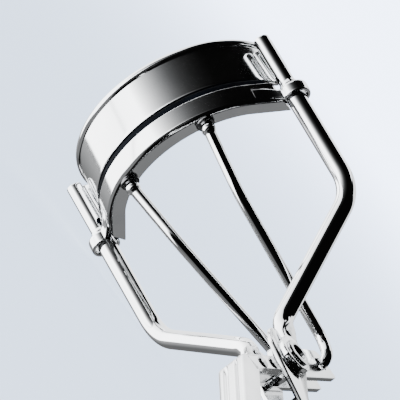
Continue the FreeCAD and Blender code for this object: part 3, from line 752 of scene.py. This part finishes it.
def ball_seat(side):
    """A small turned flange and cup under the channel that hold the rod's ball, open at the ends."""
    cup = BALL_RADIUS + 0.05
    ball = BALL_Z - LOWER_BOTTOM
    profile = [(0, 0.62), (0, 1.32), (-0.1, 1.44), (-0.3, 1.48), (-0.5, 1.42), (-0.58, 1.3),
               (-0.58, 1.1)]
    for step in range(1, 6):
        angle = math.radians(36 + 5 * step)
        profile.append((ball + cup * math.sin(angle), cup * math.cos(angle)))
    profile.append((ball + cup, 0.6))
    verts, faces = lathe(profile, (side * BALL_X, BALL_Y, LOWER_BOTTOM - 0.01), (0, 0, 1))
    name = "left" if side < 0 else "right"
    piece = new_piece(name + "_ball_cup", verts, faces[:-2], sharp=45)
    # the cup's dark material is a painted reflection, not the plating's own tone
    return fit_out(piece, "lower_jaw", name + "_ball_seat", SEAT_PAINTED_REFLECTION_STEEL)


# ------------------------------------------------------------------ push rods

CRANK_LENGTH = math.hypot(CRANK_BACK, CRANK_UP)
CRANK_ANGLE = math.atan2(CRANK_UP, CRANK_BACK)
ROD_BEND = (-1.42, 2.65, -10.6)
ROD_KNEE = (0.2, 0.9, 3.7)
ROD_BEND_RADII = [22.0, 4.0, 1.5]
ROD_FOOT_X = 3.1
ROD_TIP_X = 0.45
ROD_TIP_BEVEL = 0.12


def on_crank(along, above):
    back = PIVOT[0] + along * math.cos(CRANK_ANGLE) - above * math.sin(CRANK_ANGLE)
    up = PIVOT[1] + along * math.sin(CRANK_ANGLE) + above * math.cos(CRANK_ANGLE)
    return back, up


def by_pivot(back, up):
    return PIVOT[0] + back, PIVOT[1] + up


def outward(offset, side):
    return Vector((side * offset[0], offset[1], offset[2]))


def push_rod(side):
    """Thin polished wire: a ball at the jaw, one long bend, and a foot turned into the crank."""
    pin = by_pivot(CRANK_BACK, CRANK_UP)
    ball = Vector((side * BALL_X, BALL_Y, BALL_Z))
    foot = Vector((side * ROD_FOOT_X, *pin))
    tip = Vector((side * ROD_TIP_X, *pin))
    bend = ball + outward(ROD_BEND, side)
    knee = foot + outward(ROD_KNEE, side)
    first_way = (bend - ball).normalized()
    start = ball - first_way * BALL_RADIUS
    path = rounded_path([start, bend, knee, foot, tip], ROD_BEND_RADII, step=0.5, turn_step=3)
    neck = 2 * BALL_RADIUS + 0.15
    turns = [math.radians(8 * step) for step in range(1, 20)]
    head = [start + first_way * (BALL_RADIUS * (1 - math.cos(turn))) for turn in turns]
    beyond = [p for p in path if (p - start).length > neck]
    path = [start] + head + [start + first_way * neck] + beyond

    def section(length, total):
        ball_radius = chord(BALL_RADIUS, length - BALL_RADIUS, smallest=0.001)
        shank = ROD_RADIUS if length > BALL_RADIUS else 0
        radius = max(ball_radius, shank)
        radius -= ROD_TIP_BEVEL * (1 - min((total - length) / 0.15, 1))
        return superellipse(radius, radius, 2, 40)

    name = "left" if side < 0 else "right"
    piece = new_piece(name + "_rod_wire", *skin(sweep(path, section)), sharp=45)
    return fit_out(piece, "push_rods", name + "_push_rod", WIRE_STEEL)


# ------------------------------------------------------------------ hinge

TAIL = -14.0
TAIL_TOP = -0.3
TAIL_BOTTOM = -1.9
NEAR_RIVET = on_crank(-8.3, -1.1)
FAR_RIVET = on_crank(-12.2, -1.1)
YOKE_RIVET = by_pivot(0.9, 4.4)
SLOT_CLEARANCE = 0.2
SLOT_BACK = 0.36
SLOT_HALF_RUN = 0.4
RIVET_SHANK = 0.6
RIVET_HEAD = 1.0
RIVET_DOME = 0.35
BUSH_INNER = 1.56
BUSH_OUTER = 2.2


def crank_plate(side):
    """The lever's plate: a slot for the rod's foot at one end, a tail for the rivets at the other."""
    end = CRANK_LENGTH + 2.3
    corners = [on_crank(end, -2.4), on_crank(end, 1.0), on_crank(end - 1.1, 2.4), on_crank(1.5, 2.9),
               on_crank(-2.6, 2.2), on_crank(-4.9, TAIL_TOP), on_crank(TAIL, TAIL_TOP),
               on_crank(TAIL, TAIL_BOTTOM), on_crank(-4.5, TAIL_BOTTOM - 0.1), on_crank(-3.6, -2.6)]
    outline = fillet(corners, [0.5, 0.6, 0.9, 2.0, 1.5, 1.2, 0.3, 0.3, 0.8, 1.0], 12)
    name = "left" if side < 0 else "right"
    piece = new_piece(name + "_crank_lever", *slab(outline, side * CRANK_INNER, side * CRANK_OUTER))
    slot_half = ROD_RADIUS + SLOT_CLEARANCE
    slot = []
    for step in range(24):
        angle = 2 * math.pi * step / 24
        middle = CRANK_LENGTH - SLOT_BACK + math.copysign(SLOT_HALF_RUN, math.cos(angle))
        slot.append(on_crank(middle + slot_half * math.cos(angle), slot_half * math.sin(angle)))
    bore_radius = PIN_RADIUS + 0.05
    bore = lathe([(-1, bore_radius), (1, bore_radius)],
                 (side * (CRANK_INNER + CRANK_OUTER) / 2, *PIVOT), (1, 0, 0), 40)
    carve(piece, [slab(slot, side * (CRANK_INNER - 1), side * (CRANK_OUTER + 1)), bore])
    add_bevel(piece, 0.1)
    return fit_out(piece, "front_handle", name + "_crank_plate", HANDLE_STEEL)


def crank_spacer():
    """The block that keeps the two plates' tails apart."""
    outline = fillet([on_crank(TAIL, TAIL_TOP), on_crank(TAIL, TAIL_BOTTOM),
                      on_crank(-5.6, TAIL_BOTTOM), on_crank(-5.6, TAIL_TOP)], 0.25)
    piece = new_piece("crank_filler", *slab(outline, -CRANK_INNER, CRANK_INNER))
    add_bevel(piece, 0.06, 2)
    return fit_out(piece, "front_handle", "crank_spacer", RIVET_STEEL)


def domed_rivet(name, node, body, inner_end, outer_end, spot):
    """A rivet with a low domed head at each end."""
    domes = [math.radians(15 * step) for step in range(1, 7)]
    inner_head = [(inner_end - RIVET_DOME * math.cos(turn), RIVET_HEAD * math.sin(turn)) for turn in domes]
    outer_head = [(outer_end + RIVET_DOME * math.cos(turn), RIVET_HEAD * math.sin(turn))
                  for turn in reversed(domes)]
    shank = [(inner_end, RIVET_SHANK), (outer_end, RIVET_SHANK)]
    tips = [(inner_end - RIVET_DOME, 0.0), (outer_end + RIVET_DOME, 0.0)]
    profile = tips[:1] + inner_head + shank + outer_head + tips[1:]
    piece = new_piece(name, *lathe(profile, (0, *spot), (1, 0, 0), 40))
    return fit_out(piece, body, node, RIVET_STEEL)


def pivot_pin():
    """The hollow pin: a shank with a rolled, bored head on each side."""
    end = PADDLE_OUTER + 0.45
    profile = []
    for flip in (-1, 1):
        half = [(end - 3.4, 0.0), (end - 3.4, 1.15), (end - 0.1, 1.2), (end - 0.02, 1.28), (end, 1.4),
                (end - 0.02, 1.75), (end - 0.14, 2.05), (end - 0.32, 2.15), (PADDLE_OUTER, 2.12),
                (PADDLE_OUTER, PIN_RADIUS)]
        half = [(flip * along, radius) for along, radius in half]
        profile += half if flip < 0 else half[::-1]
    piece = new_piece("hinge_pin", *lathe(profile, (0, *PIVOT), (1, 0, 0), 64), sharp=45)
    return fit_out(piece, "frame", "pivot_pin", RIVET_STEEL)


def pivot_bush():
    """The ring round the pin that keeps the crank plates apart."""
    half = CRANK_INNER - 0.01
    outline = fillet([(-half, BUSH_INNER), (half, BUSH_INNER), (half, BUSH_OUTER), (-half, BUSH_OUTER)],
                     0.12)
    piece = new_piece("hinge_bush", *ring_band(PIVOT, outline, 64))
    return fit_out(piece, "front_handle", "pivot_bush", RIVET_STEEL)


# ------------------------------------------------------------------ handles

FRONT_CORNER = on_crank(-FRONT_BEAM, 0.5)
LEG_WAY = (-math.sin(FRONT_LEG_SLOPE), -math.cos(FRONT_LEG_SLOPE))
LEG_INWARD = (math.cos(FRONT_LEG_SLOPE), -math.sin(FRONT_LEG_SLOPE))
LEG_DEPTH = 3.0
BEAM_DEPTH = 2.6
TAPER_DEPTH = 1.5
FOLD_OUTER = 0.7
FOLD_INNER = 0.35
FRONT_WALL = 0.75
RIBS_START = (10.2, 12.2)
RIBS_END = (1.0, 4.0)
STEM_HALF = 1.4
BACK_WEB = 0.7


def folded_channel(path, depth_at, half_width, wall, ribs):
    """A U of folded sheet carried along a path in the side plane. Its web is on the left of
    the way along the path, seen from +x, and its two flanges hang inwards."""
    along = lengths_along(path)
    flat_half = half_width - FOLD_OUTER
    inner_half = half_width - wall
    steps = 48
    rings = []
    for point, tangent, length in zip(path, tangents_of(path), along):
        depth = depth_at(length, along[-1])
        inward = Vector((0, -tangent.z, tangent.y))
        outer = fillet([(-half_width, depth), (-half_width, 0), (half_width, 0), (half_width, depth)],
                       [0, FOLD_OUTER, FOLD_OUTER, 0], 10)
        inner = fillet([(inner_half, depth), (inner_half, wall), (-inner_half, wall), (-inner_half, depth)],
                       [0, FOLD_INNER, FOLD_INNER, 0], 10)
        fade = smooth_step(length, *RIBS_START) * smooth_step(along[-1] - length, *RIBS_END)
        across = [mix(-flat_half, flat_half, step / steps) for step in range(1, steps)]
        web = [Vector((x, ribs(x) * fade)) for x in across]
        left = [p for p in outer if p.x < 0]
        right = [p for p in outer if p.x > 0]
        section = left + web + right + inner
        rings.append([point + Vector((p.x, 0, 0)) + inward * p.y for p in section])
    return skin(rings)


def on_leg(along, inward):
    return (FRONT_CORNER[0] + along * LEG_WAY[0] + inward * LEG_INWARD[0],
            FRONT_CORNER[1] + along * LEG_WAY[1] + inward * LEG_INWARD[1])


def side_point(spot):
    return Vector((0, spot[0], spot[1]))


def crowned_ring(half_width):
    """A finger ring's section: flat outside with round edges, crowned towards the finger."""
    outer = RING_INNER + RING_SHEET
    corners = [(-half_width, RING_INNER + 0.2), (-half_width * 0.5, RING_INNER + 0.03),
               (half_width * 0.5, RING_INNER + 0.03), (half_width, RING_INNER + 0.2),
               (half_width, outer), (-half_width, outer)]
    return fillet(corners, [0.25, 2.0, 2.0, 0.25, 0.28, 0.28], 12)


def front_ribs(x):
    """Two grooves pressed along the front handle's web, a broad one and a narrow one."""
    broad = 0.45 * math.exp(-((x + 1.0) / 0.32) ** 4)
    narrow = 0.28 * math.exp(-((x - 0.85) / 0.16) ** 2)
    return broad + narrow


def front_handle():
    """A folded channel that bends down from the crank to its finger ring."""
    start = on_crank(-6.2, 0.5)
    ring_centre = on_leg(FRONT_LEG, RING_OFFSET)
    reach = RING_INNER + RING_SHEET / 2
    leg_stop = FRONT_LEG - math.sqrt(reach ** 2 - RING_OFFSET ** 2)
    path = rounded_path([side_point(start), side_point(FRONT_CORNER), side_point(on_leg(leg_stop, 0))],
                        [1.1], step=0.5, turn_step=5)

    def depth(length, total):
        before_ring = smooth_step(total - length, 0.0, 5.0)
        return mix(TAPER_DEPTH, mix(BEAM_DEPTH, LEG_DEPTH, smooth_step(length, 6, 12)), before_ring)

    channel = folded_channel(path, depth, FRONT_HALF_WIDTH, FRONT_WALL, front_ribs)
    ring = ring_band(ring_centre, crowned_ring(FRONT_HALF_WIDTH))
    piece = new_piece("front_finger_handle", *merge([channel, ring]), sharp=45)
    add_bevel(piece, 0.12, 2, 45)
    return fit_out(piece, "front_handle", "front_handle", HANDLE_STEEL)


def back_handle():
    """Two cheeks that carry the pivot, drawn together into a stem and a finger ring."""
    stem_top = BACK_RING[1] + RING_INNER + RING_SHEET / 2
    stem_back = BACK_RING[0] + STEM_HALF
    stem_front = BACK_RING[0] - STEM_HALF
    corners = [by_pivot(-1.3, 5.4), by_pivot(3.4, 5.4), by_pivot(4.1, 1.4), by_pivot(3.2, -1.6),
               by_pivot(-1.6, -8.2), (stem_back, stem_top - 0.1), (stem_front, stem_top - 0.1),
               by_pivot(-4.7, -11.6), by_pivot(-4.2, -3.9), by_pivot(-3.4, 2.4)]
    outline = fillet(corners, [1.6, 1.6, 2.0, 3.0, 6.0, 0, 0, 12.0, 6.0, 3.0], 6)
    hollow_corners = [by_pivot(-8, 8), by_pivot(8, 8), by_pivot(8, -5.2),
                      by_pivot(0.6 - BACK_WEB, -5.2), by_pivot(-1.8 - BACK_WEB, -8.6),
                      (stem_back - BACK_WEB, stem_top + 1.8),
                      (stem_front - 2.6, stem_top + 2.6), by_pivot(-8, -9)]
    hollow = fillet(hollow_corners, [0, 0, 0, 1.5, 4.0, 0.5, 0, 0], 8)
    piece = new_piece("back_finger_handle", *slab(outline, -CHEEK_OUTER, CHEEK_OUTER))
    add_bevel(piece, 0.3, 4)
    settle(piece)
    carve(piece, [slab(hollow, -CHEEK_INNER, CHEEK_INNER)])
    carve(piece, [ring_band(BACK_RING, crowned_ring(CHEEK_OUTER))], "UNION")
    piece.data.shade_smooth()
    piece.data.set_sharp_from_angle(angle=math.radians(35))
    add_bevel(piece, 0.07, 2, 40)
    return fit_out(piece, "frame", "back_handle", HANDLE_STEEL)


# ------------------------------------------------------------------ build the curler

upper_band()
lower_channel()
pad_strip()
for side in (-1, 1):
    rail_wire(side)
    ball_seat(side)
    push_rod(side)
    crank_plate(side)
crank_spacer()
domed_rivet("near_rivet", "near_crank_rivet", "front_handle",
            -FRONT_HALF_WIDTH, FRONT_HALF_WIDTH, NEAR_RIVET)
domed_rivet("far_rivet", "far_crank_rivet", "front_handle",
            -FRONT_HALF_WIDTH, FRONT_HALF_WIDTH, FAR_RIVET)
domed_rivet("left_cheek_rivet", "left_yoke_rivet", "frame", -PADDLE_OUTER, -CHEEK_INNER, YOKE_RIVET)
domed_rivet("right_cheek_rivet", "right_yoke_rivet", "frame", CHEEK_INNER, PADDLE_OUTER, YOKE_RIVET)
pivot_pin()
pivot_bush()
front_handle()
back_handle()

# ------------------------------------------------------------------ camera

# The camera's place and its three ways, in the tool frame.
CAMERA_SPOT = (157.7, -475.2, -330.9)
CAMERA_RIGHT = (0.7592, 0.5174, -0.3949)
CAMERA_DOWN = (-0.5924, 0.2979, -0.7485)
CAMERA_AHEAD = (-0.2696, 0.8022, 0.5327)
LENS = 365.6

camera_data = bpy.data.cameras.new("camera")
camera_data.lens = LENS
camera_data.sensor_width = 36
camera_data.clip_start = 0.05
camera_data.clip_end = 20
camera = bpy.data.objects.new("camera", camera_data)
bpy.context.scene.collection.objects.link(camera)
bpy.context.scene.camera = camera
view_right = direction(CAMERA_RIGHT)
view_up = -direction(CAMERA_DOWN)
view_back = -direction(CAMERA_AHEAD)
turn = Matrix((view_right, view_up, view_back)).transposed()
camera.matrix_world = Matrix.Translation(to_row(CAMERA_SPOT)) @ turn.to_4x4()

# ------------------------------------------------------------------ floor and backdrop

FLOOR_RADIUS = 3.0
FLOOR_GAP = 0.0001
PAPER_BRIGHTEST_AT = 2.0
NEAR_PAPER = (1.55, 1.95, 2.6)
FAR_PAPER = (5.0, 5.8, 7.6)


def paper(name):
    """Pale paper that glows a little, and more away from the curler."""
    material, nodes, links, shader = shader_nodes(name)
    shader.inputs["Roughness"].default_value = 0.9
    shader.inputs["Specular IOR Level"].default_value = 0.0
    place = nodes.new("ShaderNodeTexCoord").outputs["Object"]
    distance = nodes.new("ShaderNodeVectorMath")
    distance.operation = "LENGTH"
    links.new(place, distance.inputs[0])
    reach = nodes.new("ShaderNodeMapRange")
    reach.interpolation_type = "SMOOTHERSTEP"
    links.new(distance.outputs["Value"], reach.inputs["Value"])
    reach.inputs["From Min"].default_value = 0.0
    reach.inputs["From Max"].default_value = PAPER_BRIGHTEST_AT
    glow = ramp(nodes, links, reach.outputs["Result"], NEAR_PAPER, FAR_PAPER, 0.0, 1.0)
    links.new(glow, shader.inputs["Emission Color"])
    shade = ramp(nodes, links, reach.outputs["Result"], (0.55, 0.57, 0.60), (0, 0, 0), 0.0, 0.7)
    links.new(shade, shader.inputs["Base Color"])
    shader.inputs["Emission Strength"].default_value = 1.0
    return material


def stage_piece(name, material, build, **shape):
    mesh = bpy.data.meshes.new(name)
    work = bmesh.new()
    build(work, **shape)
    work.to_mesh(mesh)
    work.free()
    mesh.shade_smooth()
    mesh.materials.append(material)
    piece = bpy.data.objects.new(name, mesh)
    bpy.context.scene.collection.objects.link(piece)
    return piece


# Neither is mirrored in the steel: only the studio's panels are.
floor = stage_piece("floor", paper("floor_paper"), bmesh.ops.create_circle,
                    cap_ends=True, segments=96, radius=FLOOR_RADIUS)
floor.location.z = cad_box[0].z - FLOOR_GAP
floor.visible_glossy = False
dome = stage_piece("backdrop", paper("backdrop_paper"), bmesh.ops.create_uvsphere,
                   u_segments=64, v_segments=32, radius=FLOOR_RADIUS)
dome.visible_glossy = False
dome.visible_diffuse = False
dome.visible_transmission = False
dome.visible_shadow = False

# ------------------------------------------------------------------ studio light

# The studio is a surround of soft white panels with dark flags between them, given by azimuth
# about the floor's upright, from the way the curler is photographed, and by elevation.

DARK_STUDIO = 0.003
STUDIO_TINT = (0.97, 0.985, 1.0, 1)

world = bpy.data.worlds.new("studio")
bpy.context.scene.world = world
world.use_nodes = True
tree = world.node_tree
background = tree.nodes["Background"]
ahead = -view_back
ahead = Vector((ahead.x, ahead.y, 0)).normalized()
rightward = Vector((ahead.y, -ahead.x, 0))


def math_node(operation, first, second=None):
    node = tree.nodes.new("ShaderNodeMath")
    node.operation = operation
    for socket, value in zip(node.inputs, (first, second)):
        if value is None:
            continue
        if isinstance(value, (int, float)):
            socket.default_value = value
        else:
            tree.links.new(value, socket)
    return node.outputs[0]


def dot_with(way):
    """How far the ray's direction goes this way."""
    node = tree.nodes.new("ShaderNodeVectorMath")
    node.operation = "DOT_PRODUCT"
    tree.links.new(ray, node.inputs[0])
    node.inputs[1].default_value = way
    return node.outputs["Value"]


def rise(value, low, high):
    """0 below low, 1 above high, smooth between."""
    node = tree.nodes.new("ShaderNodeMapRange")
    node.interpolation_type = "SMOOTHSTEP"
    tree.links.new(value, node.inputs["Value"])
    node.inputs["From Min"].default_value = low
    node.inputs["From Max"].default_value = high
    return node.outputs["Result"]


def fall(value, low, high):
    return math_node("SUBTRACT", 1.0, rise(value, low, high))


def between(value, low, high, soft):
    return math_node("MULTIPLY", rise(value, low - soft, low + soft), fall(value, high - soft, high + soft))


def fading_up(start, stops_per_degree):
    """Full below this elevation and dimming steadily above it."""
    above = math_node("MAXIMUM", math_node("SUBTRACT", elevation, start), 0.0)
    return math_node("POWER", 2.0, math_node("MULTIPLY", above, -stops_per_degree))


def panel(strength, *sides):
    """The product of soft edges, times a brightness."""
    value = strength
    for side in sides:
        value = math_node("MULTIPLY", side, value)
    return value


ray = tree.nodes.new("ShaderNodeTexCoord").outputs["Generated"]
azimuth = math_node("DEGREES", math_node("ARCTAN2", dot_with(rightward), dot_with(ahead)))
elevation = math_node("DEGREES", math_node("ARCSINE", dot_with((0, 0, 1))))
grey_slope = math_node("ADD", math_node("MULTIPLY", fall(azimuth, -40, 5), 0.4), 0.17)
behind = math_node("ADD", rise(azimuth, 112, 122), fall(azimuth, -174, -168))
panels = [
    # the large white wall on the left: its two far strips fade upwards, the near one stays bright
    panel(7.0, between(azimuth, -140, -97, 3), between(elevation, -62, 90, 3), fading_up(-17, 0.165)),
    panel(7.0, between(azimuth, -140, -131, 2), between(elevation, -62, 60, 3), fading_up(-5, 0.165)),
    panel(7.0, between(azimuth, -97, -41, 3), between(elevation, -62, 34, 4), fading_up(-17, 0.03)),
    # the wall ahead, a strip above it, and the dimmer wall on the right
    panel(2.9, between(azimuth, -49, 6, 4), between(elevation, -16, 49, 3)),
    panel(2.9, between(azimuth, -14, 6, 3), between(elevation, 40, 74, 3)),
    panel(2.0, between(azimuth, 6, 43, 4), between(elevation, 12, 62, 4)),
    # grey cards: low ahead, and two on the right
    panel(grey_slope, between(azimuth, -41, 45, 8), between(elevation, -62, -16, 3)),
    panel(0.25, between(azimuth, 48, 82, 4), between(elevation, -34, 4, 4)),
    panel(0.16, between(azimuth, 12, 50, 4), between(elevation, -18, 12, 3)),
    # the table below, and what little light comes from behind
    panel(0.26, fall(elevation, -64, -58)),
    panel(0.25, behind, fall(elevation, -42, -36)),
    panel(0.15, fall(azimuth, -174, -166), between(elevation, -40, 8, 5)),
    panel(0.18, fall(azimuth, -145, -140), fall(elevation, -36, -24)),
]
brightness = DARK_STUDIO
for strength in panels:
    brightness = math_node("MAXIMUM", brightness, strength)
tree.links.new(brightness, background.inputs["Strength"])
background.inputs["Color"].default_value = STUDIO_TINT
